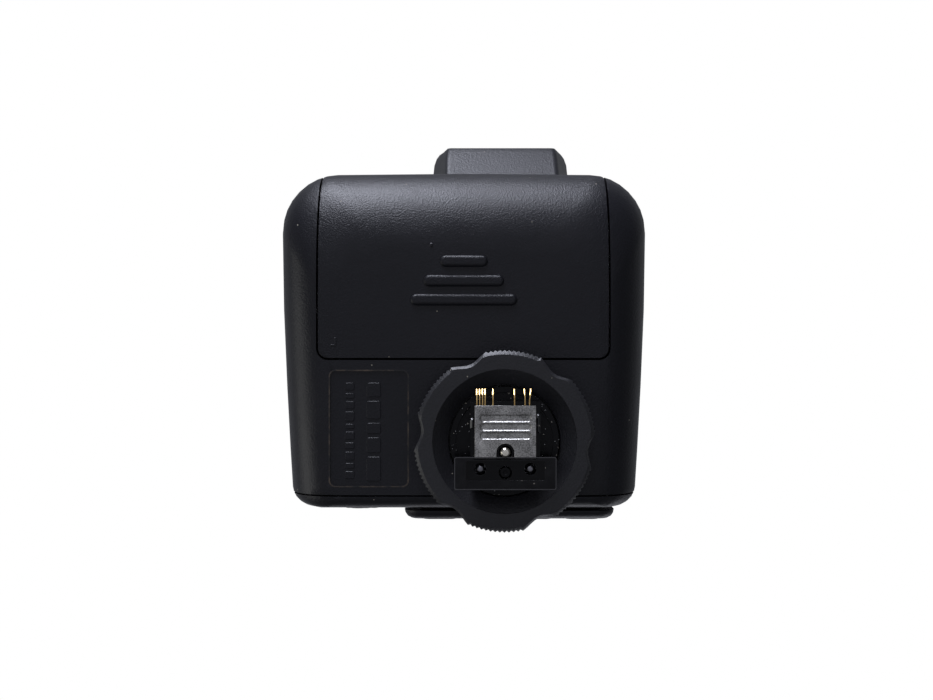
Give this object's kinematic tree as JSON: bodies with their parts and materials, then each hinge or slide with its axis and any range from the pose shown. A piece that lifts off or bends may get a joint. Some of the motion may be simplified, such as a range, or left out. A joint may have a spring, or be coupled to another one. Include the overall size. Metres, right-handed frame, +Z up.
{
  "type": "wireless flash trigger",
  "caption": "Black hot-shoe radio trigger with a display, keys and dial at the rear, a battery door underneath and a locking shoe foot with a knurled ring.",
  "frame": {"origin": "centre of the flat underside of the shoe foot, where it meets a camera's shoe", "axes": "+Z up with the foot at the bottom, -Y towards the display and the user, +Y towards the assist lamp, +X to the user's right"},
  "size_m": [0.071, 0.0767, 0.0529],
  "materials": {
    "shell_black": "fine moulded grain, satin",
    "foot_black": "smooth, semi-gloss",
    "ring_black": "smooth satin",
    "rubber": "matt",
    "steel": "brushed, satin",
    "gold": "gold plated, bright",
    "glass": "polished clear window over a dark mask",
    "lcd": "grey-green liquid crystal glass",
    "red_lens": "polished deep red",
    "lamp": "frosted clear light pipe",
    "board": "green solder mask",
    "cell": "printed foil sleeve",
    "spring": "nickel plated",
    "brass": "bright wire"
  },
  "bodies": {
    "housing": {"main_housing": "shell_black", "rear_cover": "shell_black", "top_cover": "shell_black", "battery_tray": "shell_black", "control_panel": "shell_black", "foot_base": "foot_black", "shoe_foot": "foot_black", "foot_screw": "foot_black", "rotary_encoder": "foot_black", "sync_jack": "foot_black", "hot_shoe_base": "foot_black", "foot_ground_plate": "steel", "usb_port": "steel", "hot_shoe_rails": "steel", "shoe_screw_1": "steel", "shoe_screw_2": "steel", "shoe_centre_contact": "gold", "shoe_data_contact_1": "gold", "shoe_data_contact_2": "gold", "foot_contact_1": "gold", "foot_contact_2": "gold", "foot_contact_3": "gold", "foot_contact_4": "gold", "foot_contact_5": "gold", "foot_contact_6": "gold", "foot_contact_7": "gold", "foot_contact_8": "gold", "display_window": "glass", "lcd_module": "lcd", "af_lens": "red_lens", "status_light_pipe": "lamp", "main_pcb": "board", "cell_front": "cell", "cell_rear": "cell", "antenna": "brass", "battery_bridge_plate": "spring", "battery_plus_plate": "spring", "battery_minus_plate": "spring", "foot_pin_spring": "spring", "rf_module": "spring"},
    "door_carriage": {"door_slide_bracket": "steel", "door_hinge_pin": "steel"},
    "battery_door": {"battery_door": "shell_black"},
    "lock_pins": {"lock_pin_yoke": "steel", "lock_pin_left": "steel", "lock_pin_right": "steel"},
    "lock_ring": {"lock_ring": "ring_black"},
    "centre_pin": {"foot_centre_pin": "gold"},
    "key_group": {"key_group": "rubber"},
    "key_channel": {"key_channel": "rubber"},
    "key_mode": {"key_mode": "rubber"},
    "key_menu": {"key_menu": "rubber"},
    "select_dial": {"select_dial": "rubber"},
    "set_button": {"set_button": "shell_black"},
    "test_button": {"test_button": "rubber"},
    "power_switch": {"power_switch": "rubber"},
    "af_switch": {"af_switch": "rubber"}
  },
  "joints": [
    {"name": "door_slide", "type": "slide", "parent": "housing", "child": "door_carriage", "axis": [0, 1, 0], "range_m": [0, 0.0045]},
    {"name": "door_swing", "type": "hinge", "parent": "door_carriage", "child": "battery_door", "pos_m": [0.0075, 0.0492, 0.03], "axis": [1, 0, 0], "range_deg": [0, 95]},
    {"name": "lock_ring_turn", "type": "hinge", "parent": "lock_pins", "child": "lock_ring", "pos_m": [0, -0.0006, 0.0065], "axis": [0, 0, -1], "range_deg": [0, 270]},
    {"name": "lock_pins_drop", "type": "slide", "parent": "housing", "child": "lock_pins", "axis": [0, 0, -1], "range_m": [0, 0.00121]},
    {"name": "centre_pin_press", "type": "slide", "parent": "housing", "child": "centre_pin", "axis": [0, 0, 1], "range_m": [0, 0.0005], "stiffness_N_per_m": 400, "springref_m": -0.0005, "deforming": ["foot_pin_spring"]},
    {"name": "key_group_press", "type": "slide", "parent": "housing", "child": "key_group", "axis": [0, 1, 0], "range_m": [0, 0.0005], "stiffness_N_per_m": 600, "springref_m": -0.0005},
    {"name": "key_channel_press", "type": "slide", "parent": "housing", "child": "key_channel", "axis": [0, 1, 0], "range_m": [0, 0.0005], "stiffness_N_per_m": 600, "springref_m": -0.0005},
    {"name": "key_mode_press", "type": "slide", "parent": "housing", "child": "key_mode", "axis": [0, 1, 0], "range_m": [0, 0.0005], "stiffness_N_per_m": 600, "springref_m": -0.0005},
    {"name": "key_menu_press", "type": "slide", "parent": "housing", "child": "key_menu", "axis": [0, 1, 0], "range_m": [0, 0.0005], "stiffness_N_per_m": 600, "springref_m": -0.0005},
    {"name": "set_button_press", "type": "slide", "parent": "housing", "child": "set_button", "axis": [0, 1, 0], "range_m": [0, 0.0005], "stiffness_N_per_m": 600, "springref_m": -0.0005},
    {"name": "test_button_press", "type": "slide", "parent": "housing", "child": "test_button", "axis": [0, 1, 0], "range_m": [0, 0.0005], "stiffness_N_per_m": 600, "springref_m": -0.0005},
    {"name": "select_dial_turn", "type": "hinge", "parent": "housing", "child": "select_dial", "pos_m": [0.028, -0.0145, 0.033], "axis": [0, 1, 0], "continuous": true},
    {"name": "power_switch_slide", "type": "slide", "parent": "housing", "child": "power_switch", "axis": [0, 0, 1], "range_m": [0, 0.004]},
    {"name": "af_switch_slide", "type": "slide", "parent": "housing", "child": "af_switch", "axis": [0, 0, 1], "range_m": [0, 0.003]}
  ],
  "couplings": [
    {"joint": "lock_pins_drop", "follows": "lock_ring_turn", "m_per_rad": 0.00025465}
  ]
}
